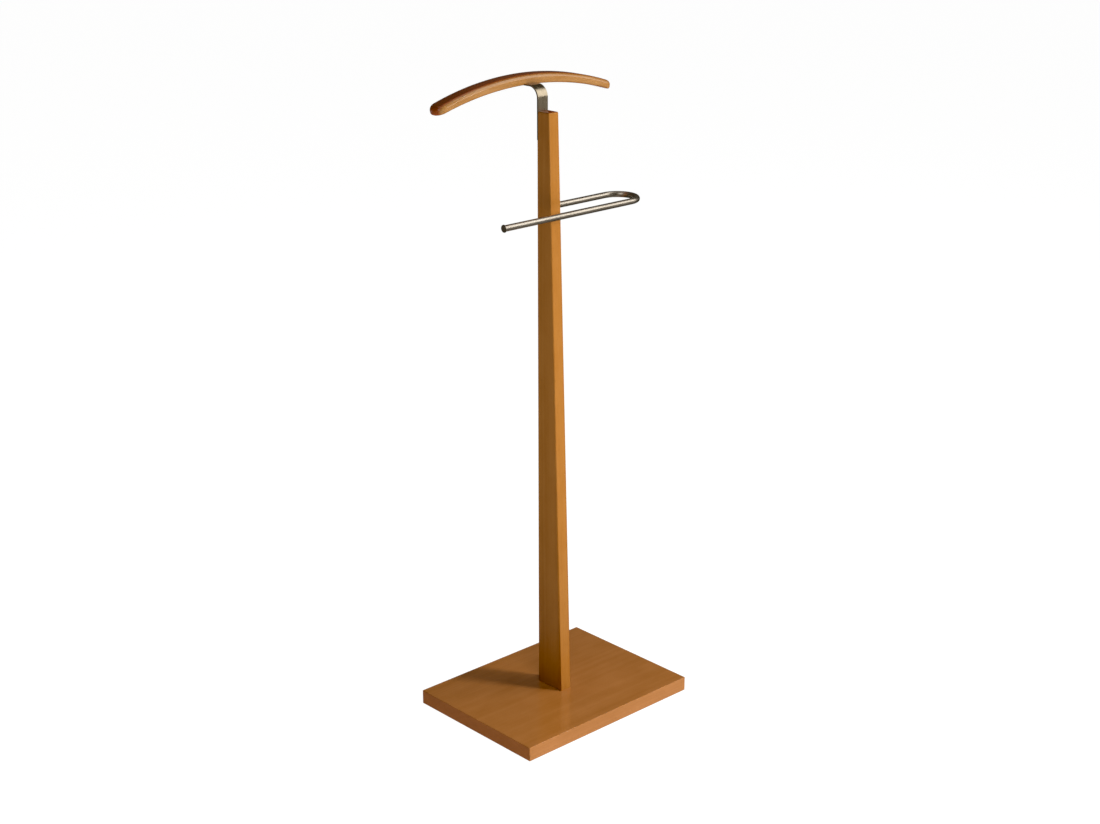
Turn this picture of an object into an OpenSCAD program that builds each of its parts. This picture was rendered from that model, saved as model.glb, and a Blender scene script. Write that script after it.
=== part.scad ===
// Clothes valet: a tapered wooden column on a flat base board, with a curved wooden jacket
// hanger on a bent steel strap behind its top, and a U-shaped steel trouser bar in its side.
// Frame: the origin is on the floor under the middle of the base board. X runs along the
// hanger and the trouser bar, the front is -Y, Z is up. Millimetres.

/* [Base board] */
// Length of the base board, along the hanger
base_w = 400; // [340:1:600]
// Depth of the base board, front to back
base_d = 300; // [240:1:450]
// Thickness of the base board
base_t = 27; // [24:0.5:45]
// Rounding of the board's edges
base_edge_r = 1; // [0.5:0.1:4]

/* [Floor glides] */
// Diameter of a glide
glide_d = 22; // [14:1:40]
// Height of a glide under the board
glide_h = 3; // [2:0.5:8]
// From the board's edges to the middle of a glide
glide_inset = 30; // [22:1:60]
// Diameter of the pin that holds a glide in the board
glide_pin_d = 4; // [3:0.5:8]
// Length of the glide's pin in the board
glide_pin_l = 12; // [6:1:18]

/* [Column] */
// Height of the column above the board
column_h = 1085; // [700:5:1400]
// Width of the column at its foot, along X
column_foot_w = 26; // [24:0.5:60]
// Width of the column at its top, along X
column_top_w = 23; // [18:0.5:40]
// Depth of the column at its foot, front to back
column_foot_d = 62; // [56:0.5:110]
// Depth of the column at its top, front to back
column_top_d = 30; // [26:0.5:60]
// Rounding of the column's edges
column_edge_r = 2; // [0.5:0.25:4]

/* [Column foot joint] */
// Thread diameter of the two bolts that hold the column
bolt_d = 8; // [5:0.5:10]
// Length of a bolt under its head
bolt_l = 45; // [36:1:60]
// Diameter of a bolt's head
bolt_head_d = 13; // [9:0.5:16]
// Height of a bolt's head
bolt_head_h = 8; // [4:0.5:9]
// Width across the flats of the hexagon socket in a bolt's head
bolt_hex = 6; // [3:0.5:8]
// Depth of the counterbore under the board
bolt_recess = 11; // [10.8:0.2:14]
// From the column's front or back face at the foot to a bolt's middle
bolt_inset = 11; // [9.5:0.5:12]
// Diameter of a washer
washer_d = 16; // [15:0.5:22]
// Thickness of a washer
washer_t = 1.6; // [0.8:0.2:2.6]
// Outer diameter of a threaded insert in the column
insert_d = 12; // [11:0.5:15]
// Length of a threaded insert
insert_l = 25; // [15:1:40]
// Diameter of a dowel
dowel_d = 8; // [5:0.5:8]
// Length of a dowel
dowel_l = 40; // [24:1:60]
// Depth that a dowel goes into the board
dowel_in_base = 16; // [8:1:20]
// Distance between the two dowels
dowel_pitch = 13; // [9:0.5:13]

/* [Hanger bracket] */
// Thickness of the steel strap
strap_t = 3; // [2:0.25:5]
// Length of the strap let into the back of the column
strap_lap = 50; // [40:1:90]
// Height of the strap's top face over the top of the column
strap_rise = 43; // [32:0.5:90]
// Outer radius of the strap's bend
strap_bend_r = 22; // [10:0.5:30]
// Length of the strap's horizontal leg that is let into the hanger
strap_seat = 27; // [22:0.5:29]
// Diameter of the bracket screws' shanks
strap_screw_d = 4; // [3:0.25:5]
// Length of the bracket screws
strap_screw_l = 22; // [12:1:24]
// From the ends of the lap to the bracket screws
strap_screw_inset = 13; // [8:1:16]

/* [Jacket hanger] */
// Width of the hanger from end to end
hanger_w = 406; // [300:2:480]
// Radius of the hanger's top face
hanger_r = 615; // [420:5:1200]
// Thickness of the hanger at the middle
hanger_mid_t = 17.5; // [16:0.5:30]
// Thickness of the hanger at its ends
hanger_end_t = 14.5; // [13:0.5:26]
// Depth of the hanger, front to back
hanger_d = 34; // [31:0.5:50]
// From the column's back face to the middle of the hanger
hanger_setback = 48; // [48:0.5:90]
// Rounding of the hanger's long edges
hanger_edge_r = 4; // [2:0.25:6]
// Radius of the hanger's end corners, seen from above
hanger_end_r = 14; // [6.5:0.5:15.5]
// Diameter of the hanger screws' shanks
hanger_screw_d = 3.5; // [2.5:0.25:4]
// Length of the hanger screws
hanger_screw_l = 13; // [8:0.5:14]
// Distance between the hanger screws
hanger_screw_pitch = 12; // [9:0.5:12]

/* [Trouser bar] */
// Outer diameter of the trouser bar's tube
bar_d = 11; // [9:0.5:14]
// Wall of the trouser bar's tube
bar_wall = 1.5; // [1:0.1:2.5]
// From the top of the column down to the middle of the bar
bar_drop = 166; // [90:1:500]
// Distance between the middles of the bar's two legs
bar_spread = 67.5; // [45:0.5:110]
// From the column's middle to the centre of the bar's bend
bar_bend_x = 135; // [60:1:240]
// From the column's middle to the bar's free end, cap included
bar_free_x = 165; // [40:1:240]
// Depth of the socket in the column's side
bar_socket = 17; // [12:0.5:18]
// Diameter of the end cap's flange
cap_d = 13.5; // [11.5:0.5:18]
// Thickness of the end cap's flange
cap_t = 2; // [1:0.25:5]
// Length of the end cap's spigot in the tube
cap_spigot = 12; // [6:1:30]
// Length of the solid plug in the tube's rooted end
plug_l = 30; // [20:1:60]
// Thread diameter of the lock screw
lock_d = 5; // [3:0.5:5]
// Depth of the lock screw's end under the column's back face
lock_recess = 4; // [1:0.5:6]
// Outer diameter of the lock screw's threaded insert
lock_insert_d = 8; // [7:0.5:9]
// Length of the lock screw's threaded insert
lock_insert_l = 9; // [6:0.5:9.5]

/* [Fits] */
// Clearance on every side between a piece and the hole or groove that holds it
fit = 0.1; // [0.05:0.05:0.2]
// Clearance on every side of a bolt, washer or screw that passes freely through a hole
free_fit = 0.4; // [0.2:0.05:0.6]

/* [Hidden] */
$fn = 64;
hull_fn = 32;
past = 1;                 // how far a cutter runs past the face that it cuts
hanger_steps = 24;        // straight steps along the hanger
corner_steps = 5;         // straight steps round a quarter of a hanger edge
hanger_corner_r = 0.4;    // least rounding of the hanger's section, on its end faces

// Heights
base_top = glide_h + base_t;
column_top = base_top + column_h;
taper_h = column_h - column_edge_r;
strap_top = column_top + strap_rise;
hanger_under = strap_top - strap_t;
hanger_crest = hanger_under + hanger_mid_t;
bar_z = column_top - bar_drop;

// The column stands with its foot on the middle of the board, and its back face is upright.
column_back = column_foot_d / 2;
function taper(foot, top, z) = foot + (top - foot) * (z - base_top) / taper_h;
function column_w(z) = taper(column_foot_w, column_top_w, z);
function column_front(z) = column_back - taper(column_foot_d, column_top_d, z);

// Column foot joint
bolt_y = column_foot_d / 2 - bolt_inset;
dowel_y = dowel_pitch / 2;
bolt_seat = glide_h + bolt_recess;             // where the washer bears on the wood
bolt_tip = bolt_seat - washer_t + bolt_l;
dowel_low = base_top - dowel_in_base;

// Bracket
strap_w = column_top_w;
strap_face = column_back - strap_t;            // front face of the strap's upright leg
strap_bend_y = strap_face + strap_bend_r;
strap_bend_z = strap_top - strap_bend_r;
strap_low = column_top - strap_lap;
hanger_y = column_back + hanger_setback;
strap_end = hanger_y - hanger_d / 2 + strap_seat;
lap_screw_z = [strap_low + strap_screw_inset, column_top - strap_screw_inset];
seat_screw_y = [for (side = [-1, 1]) strap_end - strap_seat / 2 + side * hanger_screw_pitch / 2];

// Trouser bar
bar_rear_y = (column_front(bar_z) + column_back) / 2;
bar_front_y = bar_rear_y - bar_spread;
bar_bend_r = bar_spread / 2;
bar_bore_d = bar_d - 2 * bar_wall;
socket_mouth = column_w(bar_z) / 2;
socket_floor = socket_mouth - bar_socket;
bar_tube_end = -bar_free_x + cap_t;
lock_x = socket_mouth - bar_socket / 2;
lock_tip_y = bar_rear_y + bar_d / 2 + fit;
lock_l = column_back - lock_recess - lock_tip_y;

// Jacket hanger: half of its arc, as an angle and as a length along the top face. The hanger
// is widest on the rounding at the upper edge of its end.
edge_mid_r = hanger_r - hanger_edge_r;
hanger_half_a = asin((hanger_w / 2 - hanger_edge_r) / norm([edge_mid_r, hanger_edge_r]))
    + atan2(hanger_edge_r, edge_mid_r);
hanger_half_l = hanger_r * hanger_half_a * PI / 180;

wood = "#BD7F3D";
dowel_wood = "#D0A468";
steel = "#B9B2A3";
zinc = "#9FA2A6";
brass = "#B8964A";
plastic = "#3C3A38";

// ---------- shared shapes ----------

// What stands on z = 0 is turned to point along +X, or along +Y
module along_x() rotate([0, 90, 0]) children();
module along_y() rotate([-90, 0, 0]) children();

// A screw with a countersunk head: its head's face is at z = 0 and its point hangs below
module countersunk_screw(shank_d, length) {
    head_d = 2 * shank_d;
    head_h = shank_d / 2;
    point_h = shank_d;
    tip_d = 0.05 * shank_d;
    slot = [1.2 * shank_d, 0.3 * shank_d, 0.45 * head_h];
    difference() {
        union() {
            translate([0, 0, -head_h]) cylinder(d1 = shank_d, d2 = head_d, h = head_h);
            translate([0, 0, point_h - length]) cylinder(d = shank_d, h = length - point_h);
            translate([0, 0, -length]) cylinder(d1 = tip_d, d2 = shank_d, h = point_h);
        }
        for (turn = [0, 90]) rotate(turn)
            translate([-slot[0] / 2, -slot[1] / 2, -slot[2]]) cube([slot[0], slot[1], slot[2] + past]);
    }
}

// The hole for that screw: a running hole and a countersink through the strap
module countersunk_hole(shank_d, depth) {
    head_d = 2 * shank_d;
    head_h = shank_d / 2;
    translate([0, 0, -depth - past]) cylinder(d = shank_d + free_fit, h = depth + 2 * past);
    translate([0, 0, -head_h]) cylinder(d1 = shank_d + 2 * fit, d2 = head_d + 2 * fit, h = head_h);
    cylinder(d = head_d + 2 * fit, h = past);
}

// The pilot hole that the same screw fills in the wood
module pilot_hole(shank_d, length) {
    translate([0, 0, -length - fit]) cylinder(d = shank_d + 2 * fit, h = length + fit + past);
}

// Points of a rectangle with rounded corners, counter-clockwise from its right side
function round_rect_points(a, b, r) = [
    for (q = [0:3]) for (i = [0:corner_steps])
        let (t = q * 90 + i * 90 / corner_steps,
             sx = (q == 0 || q == 3) ? 1 : -1,
             sy = q < 2 ? 1 : -1)
        [sx * (a / 2 - r) + r * cos(t), sy * (b / 2 - r) + r * sin(t)]
];

module round_rect(a, b, r) {
    square([a - 2 * r, b], center = true);
    square([a, b - 2 * r], center = true);
    for (sx = [-1, 1], sy = [-1, 1]) translate([sx * (a / 2 - r), sy * (b / 2 - r)]) circle(r);
}

// ---------- base ----------

module base_board() color(wood) difference() {
    r = base_edge_r;
    translate([0, 0, glide_h + base_t / 2]) intersection() {
        linear_extrude(base_t, center = true) round_rect(base_w, base_d, r);
        rotate([90, 0, 0]) linear_extrude(base_d, center = true) round_rect(base_w, base_t, r);
        rotate([90, 0, 90]) linear_extrude(base_w, center = true) round_rect(base_d, base_t, r);
    }
    for (side = [-1, 1]) {
        translate([0, side * bolt_y, glide_h - past]) {
            cylinder(d = washer_d + 2 * free_fit, h = bolt_recess + past);
            cylinder(d = bolt_d + 2 * free_fit, h = base_t + 2 * past);
        }
        translate([0, side * dowel_y, dowel_low - fit])
            cylinder(d = dowel_d + 2 * fit, h = dowel_in_base + fit + past);
    }
    for (i = [0:3]) translate(glide_place(i))
        translate([0, 0, -past]) cylinder(d = glide_pin_d + 2 * fit, h = glide_pin_l + fit + past);
}

// Glides 1 and 2 are at the front, 3 and 4 at the back, the odd ones on the left
function glide_place(i) = [
    (i % 2 == 0 ? -1 : 1) * (base_w / 2 - glide_inset),
    (i < 2 ? -1 : 1) * (base_d / 2 - glide_inset),
    glide_h
];

// A moulded glide: a disc with a rounded rim under the board, and a pin driven into it
module floor_glide(i) color(plastic) translate(glide_place(i)) {
    rim = glide_h / 2;
    rotate([180, 0, 0]) rotate_extrude() {
        square([glide_d / 2 - rim, glide_h]);
        square([glide_d / 2, glide_h - rim]);
        translate([glide_d / 2 - rim, glide_h - rim]) circle(rim);
    }
    cylinder(d = glide_pin_d, h = glide_pin_l);
}

// ---------- column ----------

// A quarter-round corner, standing on z = 0
module corner_dome(r) rotate_extrude($fn = hull_fn) intersection() {
    circle(r);
    square(r);
}

module column_blank() hull() {
    r = column_edge_r;
    z = [base_top, column_top - r];
    for (sx = [-1, 1], end = [0, 1]) {
        x = sx * (column_w(z[end]) / 2 - r);
        translate([x, column_back - r, z[end]]) corner_dome(r);
        translate([x, column_front(z[end]) + r, z[end]]) corner_dome(r);
    }
}

module column() color(wood) difference() {
    column_blank();
    // rebate for the strap, across the whole width of the back
    translate([-column_foot_w, strap_face, strap_low])
        cube([2 * column_foot_w, strap_t + past, strap_lap + past]);
    for (side = [-1, 1]) {
        translate([0, side * bolt_y, base_top - past]) {
            cylinder(d = insert_d + 2 * fit, h = insert_l + fit + past);
            cylinder(d = bolt_d + 2 * fit, h = bolt_tip - base_top + free_fit + past);
        }
        translate([0, side * dowel_y, base_top - past])
            cylinder(d = dowel_d + 2 * fit, h = dowel_l - dowel_in_base + fit + past);
    }
    for (z = lap_screw_z) translate([0, column_back, z]) along_y()
        pilot_hole(strap_screw_d, strap_screw_l);
    // socket for the bar's rear leg, and the lock screw's hole that meets it from the back
    translate([socket_floor, bar_rear_y, bar_z]) along_x()
        cylinder(d = bar_d + 2 * fit, h = bar_socket + column_foot_w);
    translate([lock_x, bar_rear_y, bar_z]) along_y()
        cylinder(d = lock_d + 2 * fit, h = column_back - bar_rear_y + past);
    translate([lock_x, column_back - lock_insert_l - fit, bar_z]) along_y()
        cylinder(d = lock_insert_d + 2 * fit, h = lock_insert_l + fit + past);
}

// side is -1 for the front one of a pair and 1 for the rear one
module foot_dowel(side) color(dowel_wood) translate([0, side * dowel_y, dowel_low]) {
    lead = 0.15 * dowel_d;
    cylinder(d1 = dowel_d - 2 * lead, d2 = dowel_d, h = lead);
    translate([0, 0, lead]) cylinder(d = dowel_d, h = dowel_l - 2 * lead);
    translate([0, 0, dowel_l - lead]) cylinder(d1 = dowel_d, d2 = dowel_d - 2 * lead, h = lead);
}

module foot_insert(side) color(brass) translate([0, side * bolt_y, base_top]) difference() {
    cylinder(d = insert_d, h = insert_l);
    translate([0, 0, -past]) cylinder(d = bolt_d + 2 * fit, h = insert_l + 2 * past);
}

module foot_washer(side) color(zinc) translate([0, side * bolt_y, bolt_seat - washer_t]) difference() {
    cylinder(d = washer_d, h = washer_t);
    translate([0, 0, -past]) cylinder(d = bolt_d + free_fit, h = washer_t + 2 * past);
}

module foot_bolt(side) color(zinc) translate([0, side * bolt_y, bolt_seat - washer_t]) difference() {
    union() {
        translate([0, 0, -bolt_head_h]) cylinder(d = bolt_head_d, h = bolt_head_h);
        cylinder(d = bolt_d, h = bolt_l);
    }
    translate([0, 0, -bolt_head_h - past])
        cylinder(d = bolt_hex / cos(30), h = bolt_head_h / 2 + past, $fn = 6);
}

// ---------- hanger bracket and hanger ----------

module strap_profile() {
    translate([strap_face, strap_low]) square([strap_t, strap_bend_z - strap_low]);
    intersection() {
        translate([strap_bend_y, strap_bend_z]) difference() {
            circle(strap_bend_r);
            circle(strap_bend_r - strap_t);
        }
        translate([strap_face, strap_bend_z]) square(strap_bend_r);
    }
    translate([strap_bend_y, hanger_under]) square([strap_end - strap_bend_y, strap_t]);
}

module hanger_bracket() color(steel) difference() {
    rotate([90, 0, 90]) linear_extrude(strap_w, center = true) strap_profile();
    for (z = lap_screw_z) translate([0, column_back, z]) along_y()
        countersunk_hole(strap_screw_d, strap_t);
    for (y = seat_screw_y) translate([0, y, hanger_under]) rotate([180, 0, 0])
        countersunk_hole(hanger_screw_d, strap_t);
}

module bracket_screw(i) color(zinc) translate([0, column_back, lap_screw_z[i]]) along_y()
    countersunk_screw(strap_screw_d, strap_screw_l);

module hanger_screw(i) color(zinc) translate([0, seat_screw_y[i], hanger_under]) rotate([180, 0, 0])
    countersunk_screw(hanger_screw_d, hanger_screw_l);

// Where the hanger's end has its sections: lengths from the end, close together on the
// rounding of the end's edge, then round the rest of the corner that is seen from above
edge_turn = acos(1 - hanger_edge_r / hanger_end_r);
end_lengths = concat(
    [for (i = [0:corner_steps]) hanger_edge_r * (1 - cos(i * 90 / corner_steps))],
    [for (i = [1:corner_steps])
        hanger_end_r * (1 - cos(edge_turn + i * (90 - edge_turn) / corner_steps))]
);
plain_half = hanger_half_l - hanger_end_r;
hanger_lengths = concat(
    [for (s = end_lengths) s - hanger_half_l],
    [for (i = [1:hanger_steps - 1]) plain_half * (2 * i / hanger_steps - 1)],
    [for (i = [len(end_lengths) - 1:-1:0]) hanger_half_l - end_lengths[i]]
);

// How far a rounding of radius r takes a face in, at the length s from the end
function round_in(r, s) = s < r ? r - sqrt(r * r - pow(r - s, 2)) : 0;

// Section of the hanger at the length u along its top face, from its middle
function hanger_section(u) =
    let (t = hanger_mid_t + (hanger_end_t - hanger_mid_t) * pow(u / hanger_half_l, 2),
         a = u / hanger_r * 180 / PI,
         mid = hanger_r - t / 2,
         s = hanger_half_l - abs(u),
         side_in = round_in(hanger_end_r, s),
         top_in = round_in(hanger_edge_r, s),
         r = max(hanger_edge_r - top_in, hanger_corner_r))
    [for (p = round_rect_points(hanger_d - 2 * side_in, t - 2 * top_in, r))
        [(mid + p[1]) * sin(a), hanger_y + p[0], hanger_crest - hanger_r + (mid + p[1]) * cos(a)]];

module hanger_blank() {
    rings = [for (u = hanger_lengths) hanger_section(u)];
    n = len(rings[0]);
    last = len(rings) - 1;
    polyhedron(
        points = [for (ring = rings) for (p = ring) p],
        faces = concat(
            [[for (i = [0:n - 1]) i]],
            [for (k = [0:last - 1]) for (i = [0:n - 1])
                let (a = k * n + i, b = k * n + (i + 1) % n)
                    each [[a, b + n, b], [a, a + n, b + n]]],
            [[for (i = [n - 1:-1:0]) last * n + i]]
        )
    );
}

module jacket_hanger() color(wood) difference() {
    hanger_blank();
    // groove for the strap, open at the front
    translate([-strap_w / 2 - fit, hanger_y - hanger_d, hanger_under - past])
        cube([strap_w + 2 * fit, hanger_d / 2 + strap_seat + fit, strap_t + past]);
    for (y = seat_screw_y) translate([0, y, hanger_under]) rotate([180, 0, 0])
        pilot_hole(hanger_screw_d, hanger_screw_l);
}

// ---------- trouser bar ----------

// A round rod along the bar's two legs and bend, that runs past both of its ends by extra
module bar_path(d, extra = 0) {
    translate([bar_tube_end - extra, bar_front_y, bar_z]) along_x()
        cylinder(d = d, h = bar_bend_x - bar_tube_end + extra);
    translate([bar_bend_x, bar_rear_y - bar_bend_r, bar_z]) rotate([0, 0, -90])
        rotate_extrude(angle = 180) translate([bar_bend_r, 0]) circle(d = d);
    translate([socket_floor - extra, bar_rear_y, bar_z]) along_x()
        cylinder(d = d, h = bar_bend_x - socket_floor + extra);
}

module trouser_bar() color(steel) difference() {
    bar_path(bar_d);
    bar_path(bar_bore_d, past);
}

module bar_end_cap() color(steel) translate([bar_tube_end, bar_front_y, bar_z]) along_x() {
    rim = cap_t / 4;
    cylinder(d = bar_bore_d - 2 * fit, h = cap_spigot);
    translate([0, 0, rim - cap_t]) cylinder(d = cap_d, h = cap_t - 2 * rim);
    translate([0, 0, -cap_t]) cylinder(d1 = cap_d - 2 * rim, d2 = cap_d, h = rim);
    translate([0, 0, -rim]) cylinder(d1 = cap_d, d2 = cap_d - 2 * rim, h = rim);
}

module bar_root_plug() color(zinc) translate([socket_floor, bar_rear_y, bar_z]) along_x()
    cylinder(d = bar_bore_d - 2 * fit, h = plug_l);

module bar_lock_insert() color(brass)
    translate([lock_x, column_back - lock_insert_l, bar_z]) along_y() difference() {
        cylinder(d = lock_insert_d, h = lock_insert_l);
        translate([0, 0, -past]) cylinder(d = lock_d + 2 * fit, h = lock_insert_l + 2 * past);
    }

module bar_lock_screw() color(zinc) translate([lock_x, lock_tip_y, bar_z]) along_y() difference() {
    cylinder(d = lock_d, h = lock_l);
    translate([0, 0, lock_l / 2]) cylinder(d = lock_d / 2 / cos(30), h = lock_l, $fn = 6);
}

// ---------- the assembly ----------

base_board();
for (i = [0:3]) floor_glide(i);
column();
for (side = [-1, 1]) {
    place = side < 0 ? "front" : "rear";
    foot_dowel(side);
    foot_insert(side);
    foot_washer(side);
    foot_bolt(side);
}
hanger_bracket();
for (i = [0, 1]) {
    bracket_screw(i);
    hanger_screw(i);
}
jacket_hanger();
trouser_bar();
bar_end_cap();
bar_root_plug();
bar_lock_insert();
bar_lock_screw();
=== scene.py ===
import math

import bmesh
import bpy
from mathutils import Euler, Matrix, Vector


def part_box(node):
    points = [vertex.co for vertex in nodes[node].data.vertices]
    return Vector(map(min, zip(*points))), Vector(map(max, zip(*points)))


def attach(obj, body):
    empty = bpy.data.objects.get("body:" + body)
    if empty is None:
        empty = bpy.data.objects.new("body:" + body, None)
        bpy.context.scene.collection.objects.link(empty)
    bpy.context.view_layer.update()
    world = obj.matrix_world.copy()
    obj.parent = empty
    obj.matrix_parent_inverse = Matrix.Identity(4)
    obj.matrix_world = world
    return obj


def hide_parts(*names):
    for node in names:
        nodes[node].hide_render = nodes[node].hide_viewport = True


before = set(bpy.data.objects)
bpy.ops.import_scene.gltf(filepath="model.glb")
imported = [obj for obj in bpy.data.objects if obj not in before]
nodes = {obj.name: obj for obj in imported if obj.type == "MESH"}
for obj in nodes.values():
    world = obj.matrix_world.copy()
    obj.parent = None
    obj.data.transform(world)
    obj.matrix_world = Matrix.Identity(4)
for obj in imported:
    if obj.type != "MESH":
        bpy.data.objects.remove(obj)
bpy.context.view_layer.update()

# ---------- base board ----------
# A flat board glued up from straight-grained beech, with its grain along the stand's length.
# It is planed, its edges are just broken, and it has a honey stain under a satin lacquer.


class Wire:
    """An output of a shader node. Sums and products of wires add the nodes that they need."""

    def __init__(self, tree, socket=None):
        self.tree = tree
        self.socket = socket

    def node(self, kind, settings=None, sockets=None, output=0):
        """Adds a node: its settings first, then the values and the links of its sockets."""
        made = self.tree.nodes.new("ShaderNode" + kind)
        for name, value in (settings or {}).items():
            if name == "stops":
                ramp = made.color_ramp.elements
                while len(ramp) < len(value):
                    ramp.new(1)
                for stop, (place, colour) in zip(ramp, value):
                    stop.position = place
                    stop.color = (*colour, 1)
            else:
                setattr(made, name, value)
        for name, value in (sockets or {}).items():
            if isinstance(value, Wire):
                self.tree.links.new(value.socket, made.inputs[name])
            else:
                made.inputs[name].default_value = value
        return Wire(self.tree, made.outputs[output]) if made.outputs else None

    def maths(self, operation, *values):
        kind = "VectorMath" if self.socket.type == "VECTOR" else "Math"
        return self.node(kind, {"operation": operation}, dict(enumerate(values)))

    def __add__(self, other):
        return self.maths("ADD", self, other)

    def __sub__(self, other):
        return self.maths("SUBTRACT", self, other)

    def __rsub__(self, other):
        return self.maths("SUBTRACT", other, self)

    def __mul__(self, other):
        return self.maths("MULTIPLY", self, other)

    __radd__ = __add__
    __rmul__ = __mul__

    def above(self, low, high):
        """0 below low, 1 over high, and a straight slope between them."""
        return self.node("MapRange", None, {0: self, 1: low, 2: high})


def new_material(name):
    material = bpy.data.materials.new(name)
    material.use_nodes = True
    material.node_tree.nodes.clear()
    return material, Wire(material.node_tree)


def noise(place, stretch, detail=2.0, roughness=0.5):
    """Noise from 0 to 1 with features about 1 / stretch metres long on each axis."""
    return place.node("TexNoise", None, {
        "Vector": place * stretch, "Scale": 1.0, "Detail": detail, "Roughness": roughness})


def surface(wire, height, relief, **sockets):
    """The piece's shader, with a bump of the given relief in metres."""
    normal = wire.node("Bump", None, {"Strength": 1.0, "Distance": relief, "Height": height})
    settings = {name.replace("_", " "): value for name, value in sockets.items()}
    shader = wire.node("BsdfPrincipled", None, settings | {"Normal": normal})
    wire.node("OutputMaterial", None, {"Surface": shader})


def length(vector):
    return vector.node("VectorMath", {"operation": "LENGTH"}, {0: vector}, "Value")


ring_density = 260             # changes of tone per metre across the year rings
ring_wander = 0.012            # metres that the rings stray from true circles
fleck_strength = 0.35          # of the short dark flecks that beech has along its grain
fleck_shade = 0.55             # the flecks' colour, as a share of the dark stain
deep_stain_and_painted_shade = (0.95, 0.45, 0.28, 1)      # what cut fibres drink on top of the rest, and painted shade on long grain
fibre_relief = 0.00002         # metres
satin = 0.36                   # roughness of the lacquered wood between its fibres
satin_on_fibres = 0.12         # how much rougher it is on them


def stained_beech(name, turn, pith, light, dark, lacquer, cut_fibres_and_shade):
    """Lacquered beech. turn lays the piece's grain along X, and pith is where the middle of
    the tree was, so that every face shows the cut that it has in the solid wood. The faces
    across X, Y and Z take a deeper tint as far as cut_fibres_and_shade says: a real stain
    where their fibres are cut, and painted shade where it darkens long grain."""
    material, wire = new_material(name)
    place = wire.node("TexCoord", output="Object")
    grain = place.node("Mapping", None, {"Vector": place, "Rotation": turn, "Location": pith})
    from_pith = length(grain * (0, 1, 1))
    wander = noise(grain, (1.5, 9, 9))
    rings = wire.node("TexNoise", {"noise_dimensions": "1D"}, {
        "W": (from_pith + wander * ring_wander) * ring_density, "Scale": 1.0, "Detail": 1.5})
    streaks = noise(grain, (2.2, 110, 110), 3.0)
    fibres = noise(grain, (26, 1100, 1100), 2.0, 0.6)
    mottle = noise(grain, (14, 26, 26), 3.0)
    flecks = noise(grain, (170, 1500, 800), 1.0).above(0.64, 0.74)
    # The weights keep the tone round one half, the middle of the ramp.
    tone = rings * 0.30 + streaks * 0.35 + fibres * 0.30 + mottle * 0.6 - 0.275
    stain = wire.node("ValToRGB", {"stops": [(0.25, dark), (0.75, light)]}, {"Fac": tone})
    fleck = (*(fleck_shade * part for part in dark), 1)
    stain = wire.node("Mix", {"data_type": "RGBA"}, {
        0: flecks * fleck_strength, 6: stain, 7: fleck}, 2)
    facing = wire.node("TexCoord", output="Normal")
    # Faces turned along the given axes take the deeper tint: a real stain on end grain, and
    # painted shade where it darkens long grain, as on the hanger's top.
    stain_and_shade_mask = length(facing * cut_fibres_and_shade).above(0.72, 0.98)
    stain = wire.node("Mix", {"data_type": "RGBA", "blend_type": "MULTIPLY"}, {
        0: stain_and_shade_mask, 6: stain, 7: deep_stain_and_painted_shade}, 2)
    surface(
        wire, fibres * 0.6 + streaks * 0.4, fibre_relief,
        Base_Color=stain, Roughness=satin + satin_on_fibres * fibres, Specular_IOR_Level=0.1,
        Coat_Weight=lacquer, Coat_Roughness=0.15)
    return material


along_x = (0, 0, 0)
nodes["base_board"].data.materials[0] = stained_beech(
    "board_beech", along_x, pith=(0.3, 0.05, 0.16), light=(0.41, 0.164, 0.044),
    dark=(0.33, 0.124, 0.024), lacquer=1.0, cut_fibres_and_shade=(0.8, 0, 0))

# ---------- floor glides ----------
# Four discs moulded in dark grey plastic, each with a pin driven into the board from below.
# They keep the board clear of the floor.

glide_plastic, wire = new_material("glide_plastic")
place = wire.node("TexCoord", output="Object")
pits = noise(place, (2600, 2600, 2600), 2.0)
scuffs = noise(place, (90, 240, 90), 3.0)
tint = wire.node("ValToRGB", {"stops": [
    (0.35, (0.030, 0.028, 0.026)), (0.7, (0.046, 0.043, 0.040))]}, {"Fac": scuffs})
surface(wire, pits, 0.00008, Base_Color=tint, Roughness=0.5 + 0.2 * scuffs)
for number in (1, 2, 3, 4):
    nodes[f"floor_glide_{number}"].data.materials[0] = glide_plastic

# ---------- column ----------
# One solid beech post, sawn to a taper: its front leans back and its back stays upright. Its
# grain runs from the foot to the top, and its lacquer is thinner than the board's.

along_z = (0, math.radians(90), 0)
flat_angle = math.radians(0.2)          # faces that turn less than this are one flat


def soften(node):
    """Joins a faceted node's triangles to whole flats, and shades its rounded edges as one
    smooth turn."""
    for face in node.data.polygons:
        face.use_smooth = True
    node.modifiers.new("join", "WELD").merge_threshold = 1e-6
    flats = node.modifiers.new("flats", "DECIMATE")
    flats.decimate_type = "DISSOLVE"
    flats.angle_limit = flat_angle
    turn = node.modifiers.new("shade", "WEIGHTED_NORMAL")
    turn.mode = "FACE_AREA"
    turn.weight = 100


column = nodes["column"]
column.data.materials[0] = stained_beech(
    "column_beech", along_z, pith=(0.1, 0.04, 0.11), light=(0.36, 0.148, 0.028),
    dark=(0.30, 0.112, 0.014), lacquer=0.4, cut_fibres_and_shade=(0, 0, 1))
soften(column)

# ---------- foot joint ----------
# Two dowels keep the column from turning on the board, and two bolts with washers pull it
# down from below, in threaded inserts. The dowels are raw beech, the inserts turned brass.

raw_beech, wire = new_material("raw_beech")
place = wire.node("TexCoord", output="Object")
fibres = noise(place, (700, 700, 40), 3.0)
pale = wire.node("ValToRGB", {"stops": [
    (0.3, (0.50, 0.32, 0.16)), (0.7, (0.64, 0.45, 0.26))]}, {"Fac": fibres})
surface(wire, fibres, 0.0002, Base_Color=pale, Roughness=0.6 + 0.15 * fibres)


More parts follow.
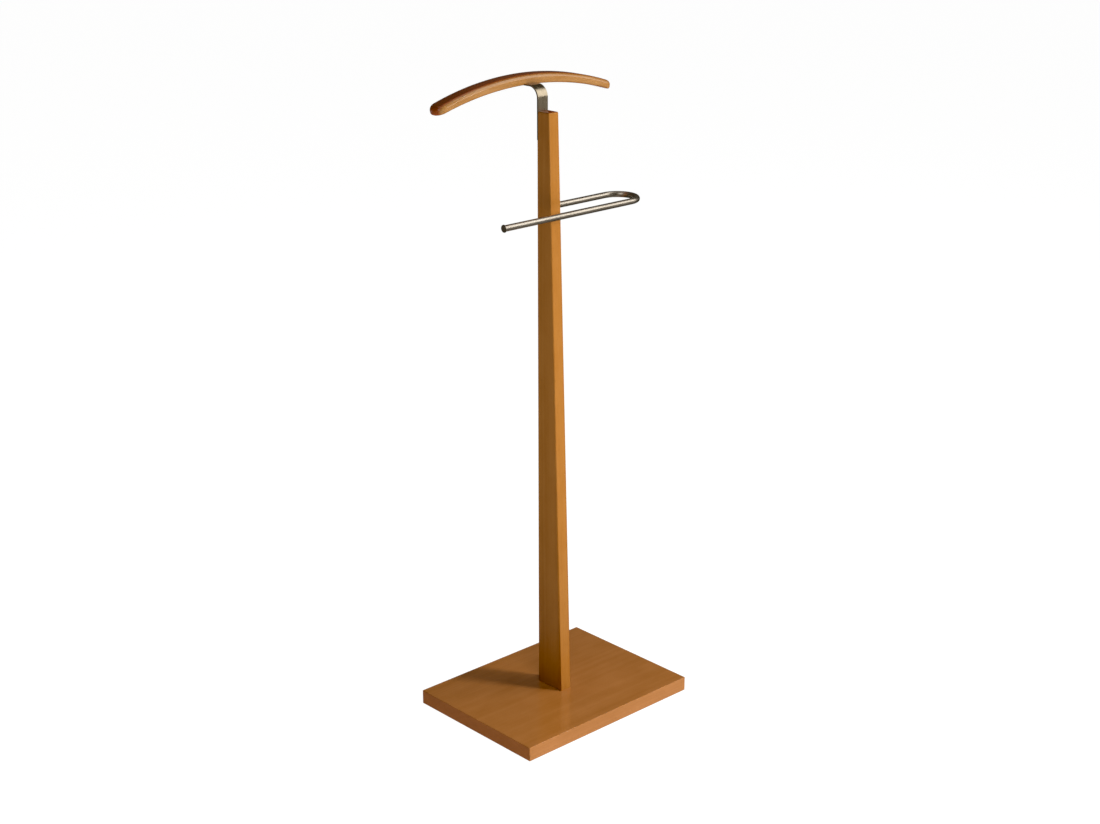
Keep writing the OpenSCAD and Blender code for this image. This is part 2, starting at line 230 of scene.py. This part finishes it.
def turned_metal(name, light, dark, roughness):
    """Bright metal with the fine marks of turning and handling."""
    material, wire = new_material(name)
    place = wire.node("TexCoord", output="Object")
    marks = noise(place, (500, 500, 2600), 2.0)
    cloud = noise(place, (70, 70, 70), 3.0)
    tint = wire.node("ValToRGB", {"stops": [(0.3, dark), (0.7, light)]}, {"Fac": cloud})
    surface(wire, marks, 0.00006, Base_Color=tint, Metallic=1.0,
            Roughness=roughness + 0.15 * marks)
    return material


insert_brass = turned_metal("insert_brass", (0.70, 0.49, 0.20), (0.58, 0.38, 0.14), 0.28)
zinc_steel = turned_metal("zinc_steel", (0.56, 0.57, 0.58), (0.42, 0.43, 0.45), 0.30)
for end in ("front", "rear"):
    nodes[f"foot_dowel_{end}"].data.materials[0] = raw_beech
    nodes[f"foot_insert_{end}"].data.materials[0] = insert_brass
    nodes[f"foot_washer_{end}"].data.materials[0] = zinc_steel
    nodes[f"foot_bolt_{end}"].data.materials[0] = zinc_steel

# ---------- hanger bracket ----------
# A flat steel strap, bent backwards at its top and let into the back of the column. It is
# brushed along its length and has a satin nickel plating.

strap_nickel, wire = new_material("strap_nickel")
place = wire.node("TexCoord", output="Object")
brushed = noise(place, (1500, 14, 14), 3.0, 0.6)
cloud = noise(place, (60, 60, 25), 2.0)
tint = wire.node("ValToRGB", {"stops": [
    (0.3, (0.34, 0.28, 0.19)), (0.7, (0.48, 0.40, 0.29))]}, {"Fac": brushed * 0.7 + cloud * 0.3})
surface(wire, brushed, 0.00001, Base_Color=tint, Metallic=1.0, Roughness=0.25 + 0.06 * brushed)
broken_edge = 0.0004
square_edge = math.radians(50)          # an edge that turns more than this is broken
strap = nodes["hanger_bracket"]
strap.data.materials[0] = strap_nickel
soften(strap)
rounding = strap.modifiers.new("broken_edges", "BEVEL")
rounding.width = broken_edge
rounding.segments = 2
rounding.limit_method = "ANGLE"
rounding.angle_limit = square_edge
strap.modifiers.move(strap.modifiers.find("broken_edges"), strap.modifiers.find("shade"))

# ---------- bracket and hanger screws ----------
# Zinc-plated countersunk screws with a cross slot: two through the strap's lap into the
# column, and two up through its seat into the hanger.

for screw in ("bracket_screw_lower", "bracket_screw_upper",
              "hanger_screw_front", "hanger_screw_rear"):
    nodes[screw].data.materials[0] = zinc_steel

# ---------- jacket hanger ----------
# One bar of beech, sawn to a curve, with rounded corners and a cutter's rounding on its long
# edges. It is let down over the strap's seat in a groove and screwed from below. Its end faces
# take the deeper stain of end grain; its top and the rounded corners of its ends are darkened
# with the same tint as painted shade.

hanger_low, hanger_high = (Vector(corner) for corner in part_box("jacket_hanger"))
hanger_radius = 0.615          # of its top face
hanger_middle = 0.0175         # thickness at the middle
hanger_tip = 0.0145            # thickness at the ends
hanger_top_edge = 0.0075       # rounding of the upper edges
hanger_low_edge = 0.0045       # rounding of the lower edges
hanger_corner = 0.016          # rounding of the ends, seen from above
hanger_margin = 0.00015        # how far the ends stay inside the length
corner_steps = 10              # straight steps round an end's corner
edge_steps = 9                 # straight steps round a long edge
length_steps = 60              # straight steps along the curve
groove_low, groove_high = (Vector(corner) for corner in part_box("hanger_bracket"))
groove_play = 0.0001
cutter_overhang = 0.01         # how far the groove's cutter stands out of the wood
sharp_angle = math.radians(35)          # an edge that turns more than this shows as one


def quarter_turn(steps):
    return [math.radians(90 * step / steps) for step in range(steps + 1)]


def half_outline(inset, plain, flat):
    """The back half of the hanger's outline from above, from its left end to its right end, as
    lengths along the curve and distances from the middle line."""
    radius = hanger_corner - inset
    left = [(-plain - radius * math.cos(turn), flat + radius * math.sin(turn))
            for turn in quarter_turn(corner_steps)]
    straight = [(plain * (2 * step / length_steps - 1), flat + radius)
                for step in range(1, length_steps)]
    return left + straight + [(-along, back) for along, back in reversed(left)]


def build_hanger():
    """Lofts the hanger from its top to its underside, through outlines bent along the curve.
    Its ends are cut halfway between upright and square to the curve."""
    middle_y = (hanger_high.y + hanger_low.y) / 2
    half = (hanger_radius - hanger_top_edge / 2) * math.asin(
        (hanger_high.x - hanger_margin) / (hanger_radius - hanger_top_edge))
    plain = half - hanger_corner
    flat = (hanger_high.y - hanger_low.y) / 2 - hanger_corner
    turns = quarter_turn(edge_steps)
    levels = [(hanger_top_edge, turn, True) for turn in turns]
    levels += [(hanger_low_edge, turn, False) for turn in reversed(turns)]

    shape = bmesh.new()
    rings = []
    for edge, turn, upper in levels:
        back = half_outline(edge * (1 - math.sin(turn)), plain, flat)
        ring = []
        for along, across in back + [(u, -y) for u, y in reversed(back)]:
            thick = hanger_middle + (hanger_tip - hanger_middle) * (along / half) ** 2
            down = edge * (1 - math.cos(turn))
            below = down if upper else thick - down
            arc = hanger_radius - below
            angle = along / (hanger_radius - below / 2)
            ring.append(shape.verts.new((
                arc * math.sin(angle),
                middle_y + across,
                hanger_high.z - hanger_radius + arc * math.cos(angle))))
        rings.append(ring)
    for ring, following in zip(rings, rings[1:]):
        for i in range(len(ring)):
            shape.faces.new((ring[i - 1], ring[i], following[i], following[i - 1]))
    # The flat top and underside are strips from the front edge to the back edge.
    for ring in (rings[0], rings[-1]):
        for i in range(len(ring) // 2 - 1):
            shape.faces.new((ring[i], ring[i + 1], ring[-2 - i], ring[-1 - i]))
    bmesh.ops.recalc_face_normals(shape, faces=shape.faces)
    mesh = bpy.data.meshes.new("hanger")
    shape.to_mesh(mesh)
    hanger = bpy.data.objects.new("hanger", mesh)
    bpy.context.collection.objects.link(hanger)
    return hanger


def cut_groove(hanger):
    """Cuts the groove for the strap's seat, open at the front."""
    half = (groove_high.x - groove_low.x) / 2 + groove_play
    front, rear = hanger_low.y - cutter_overhang, groove_high.y + groove_play
    under, top = hanger_low.z - cutter_overhang, groove_high.z
    shape = bmesh.new()
    bmesh.ops.create_cube(shape, size=1)
    for corner in shape.verts:
        corner.co = (
            half * 2 * corner.co.x,
            (front + rear) / 2 + (rear - front) * corner.co.y,
            (under + top) / 2 + (top - under) * corner.co.z)
    mesh = bpy.data.meshes.new("groove")
    shape.to_mesh(mesh)
    cutter = bpy.data.objects.new("groove", mesh)
    bpy.context.collection.objects.link(cutter)
    cut = hanger.modifiers.new("groove", "BOOLEAN")
    cut.operation = "DIFFERENCE"
    cut.solver = "EXACT"
    cut.object = cutter
    shown = hanger.evaluated_get(bpy.context.evaluated_depsgraph_get())
    carved = bpy.data.meshes.new_from_object(shown)
    hanger.modifiers.clear()
    hanger.data = carved
    bpy.data.objects.remove(cutter)


hanger = build_hanger()
cut_groove(hanger)
for face in hanger.data.polygons:
    face.use_smooth = True
hanger.data.set_sharp_from_angle(angle=sharp_angle)
hanger.data.materials.clear()
# The deeper tint is end-grain stain on the hanger's end faces, and painted shade on its top and on
# the rounded corners of its ends.
hanger.data.materials.append(stained_beech(
    "hanger_beech", along_x, pith=(0.7, 0.06, -0.98), light=(0.365, 0.184, 0.062),
    dark=(0.287, 0.121, 0.023), lacquer=1.0, cut_fibres_and_shade=(1.2, 0, 1)))
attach(hanger, "root")
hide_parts("jacket_hanger")

# ---------- trouser bar ----------
# A steel tube bent to a U, brushed and plated in satin nickel. One leg is rooted in the
# column's side, where the lock screw clamps it over a solid plug. The other leg is free, and
# a cap closes it.

tube_nickel, wire = new_material("tube_nickel")
place = wire.node("TexCoord", output="Object")
brushed = noise(place, (9, 1600, 1600), 2.0, 0.6)
cloud = noise(place, (12, 40, 40), 2.0)
tint = wire.node("ValToRGB", {"stops": [
    (0.3, (0.46, 0.40, 0.32)), (0.7, (0.60, 0.54, 0.46))]}, {"Fac": brushed * 0.5 + cloud * 0.5})
surface(wire, brushed, 0.000001, Base_Color=tint, Metallic=1.0, Roughness=0.30 + 0.06 * brushed)
nodes["trouser_bar"].data.materials[0] = tube_nickel
nodes["bar_end_cap"].data.materials[0] = tube_nickel
nodes["bar_root_plug"].data.materials[0] = zinc_steel
nodes["bar_lock_insert"].data.materials[0] = insert_brass
nodes["bar_lock_screw"].data.materials[0] = zinc_steel

# ---------- studio ----------
# A sheet of glowing white paper lies on the floor, and a dome of the same paper, which only
# the camera sees, closes the room. The lights are softboxes, and the glints, boards and
# panels light nothing: they give the metal and the lacquer their soft highlights.

studio_paper, wire = new_material("studio_floor")
place = wire.node("TexCoord", output="Object")
pulp = noise(place, (3, 3, 3), 3.0)
tint = wire.node("ValToRGB", {"stops": [
    (0.3, (0.12, 0.12, 0.12)), (0.7, (0.13, 0.13, 0.13))]}, {"Fac": pulp})
surface(wire, pulp, 0.0001, Base_Color=tint, Roughness=0.9 + 0.05 * pulp,
        Emission_Color=(1, 1, 1, 1), Emission_Strength=0.98)
studio_paper.cycles.emission_sampling = "NONE"
half_floor = 15                # metres from the middle of the sheet to its sides
dome_radius = 13.5
dome_foot = -0.01              # the dome ends here, just under the floor


def hang_paper(name, shape):
    """Makes the shape in paper that the gloss doesn't show."""
    mesh = bpy.data.meshes.new(name)
    shape.to_mesh(mesh)
    mesh.materials.append(studio_paper)
    paper = bpy.data.objects.new(name, mesh)
    paper.visible_glossy = False
    bpy.context.collection.objects.link(paper)
    return paper


sheet = bmesh.new()
bmesh.ops.create_grid(sheet, x_segments=1, y_segments=1, size=half_floor)
hang_paper("studio_floor", sheet)
cove = bmesh.new()
bmesh.ops.create_uvsphere(cove, u_segments=64, v_segments=32, radius=dome_radius)
bmesh.ops.delete(cove, geom=[corner for corner in cove.verts if corner.co.z < dome_foot])
for face in cove.faces:
    face.smooth = True
dome = hang_paper("studio_cove", cove)
dome.visible_diffuse = False
dome.visible_shadow = False


def softbox(name, place, target, size, watts, lights=True, mirrored=True):
    """A rectangular light at place, turned to target, with its width and height in metres.
    One that isn't mirrored leaves no highlight, and one that doesn't light is for the gloss
    alone."""
    light = bpy.data.lights.new(name, "AREA")
    light.shape = "RECTANGLE"
    light.size, light.size_y = size
    light.energy = watts
    lamp = bpy.data.objects.new(name, light)
    lamp.location = place
    lamp.rotation_euler = (Vector(target) - Vector(place)).to_track_quat("-Z", "Y").to_euler()
    lamp.visible_diffuse = lights
    lamp.visible_glossy = mirrored
    bpy.context.collection.objects.link(lamp)


softbox("key_light", (1.69, -2.65, 1.82), (0, 0, 0.55), (0.5, 0.9), 110, mirrored=False)
softbox("fill_light", (-0.50, -0.90, 0.75), (-0.1, -0.1, 0), (0.6, 0.6), 6, mirrored=False)
softbox("key_glint", (1.69, -2.65, 1.82), (0, 0, 1.1), (0.5, 0.9), 5, lights=False)
softbox("sheen_light", (1.91, -1.50, 2.60), (0, 0, 1.0), (1.4, 2.8), 27)
softbox("low_light", (2.40, -2.90, 0.55), (0, 0, 0.8), (2.4, 0.9), 2.0)
softbox("far_board", (1.8, -2.0, 0.01), (1.8, -2.0, 1.0), (2.4, 2.4), 4.0, lights=False)
softbox("near_board", (-0.10, -0.40, 0.001), (-0.10, -0.40, 1.0), (1.6, 0.5), 0.9, lights=False)
softbox("back_board", (0.0, 4.3, 0.01), (0.0, 4.3, 1.0), (5.0, 2.6), 16, lights=False)
softbox("front_panel", (0.0, -3.5, 0.9), (0, 0, 1.0), (1.6, 1.2), 5, lights=False)
softbox("top_light", (0.0, -0.3, 6.0), (0, 0, 0), (3.0, 3.0), 50, mirrored=False)
softbox("top_glint", (0.0, -0.3, 6.0), (0, 0, 0), (5.0, 5.0), 55, lights=False)
softbox("back_light", (0.0, 2.8, 0.5), (0, 0, 0.6), (1.6, 0.8), 17, mirrored=False)
softbox("left_panel", (-2.6, -1.2, 2.2), (0, 0, 1.0), (1.2, 2.4), 14, lights=False)
softbox("rear_panel", (2.3, 2.7, 0.35), (0, 0, 0.7), (1.6, 0.6), 3, lights=False)

# The room has a dim, warm glow of its own, which only the gloss shows.
air = bpy.data.worlds.new("studio_air")
air.use_nodes = True
glow = air.node_tree.nodes["Background"].inputs
glow["Color"].default_value = (1.0, 0.88, 0.66, 1)
glow["Strength"].default_value = 0.07
air.cycles_visibility.diffuse = False
bpy.context.scene.world = air

# ---------- camera ----------
# The camera is in front and to the left, half a metre higher than the hanger, and looks down
# through a lens a little longer than a normal one. Its film deepens the darkest tones.

camera_place = (-2.16803, -2.33102, 1.68236)
camera_turn = math.radians(42.7815)     # from straight ahead, towards +X
camera_tilt = math.radians(19.1848)     # below the horizon
camera_roll = math.radians(-0.09898)
camera_lens = 61.31                     # mm, on a frame 36 mm wide
film_black = 0.01

view = bpy.data.cameras.new("studio_camera")
view.sensor_fit = "HORIZONTAL"
view.sensor_width = 36
view.lens = camera_lens
camera = bpy.data.objects.new("studio_camera", view)
aim = Euler((math.radians(90) - camera_tilt, 0, -camera_turn)).to_matrix().to_4x4()
camera.matrix_world = Matrix.Translation(camera_place) @ aim @ Matrix.Rotation(camera_roll, 4, "Z")
bpy.context.collection.objects.link(camera)
bpy.context.scene.camera = camera
film = bpy.context.scene.view_settings
film.view_transform = "Standard"
film.use_curve_mapping = True
film.curve_mapping.black_level = (film_black, film_black, film_black)
film.curve_mapping.update()
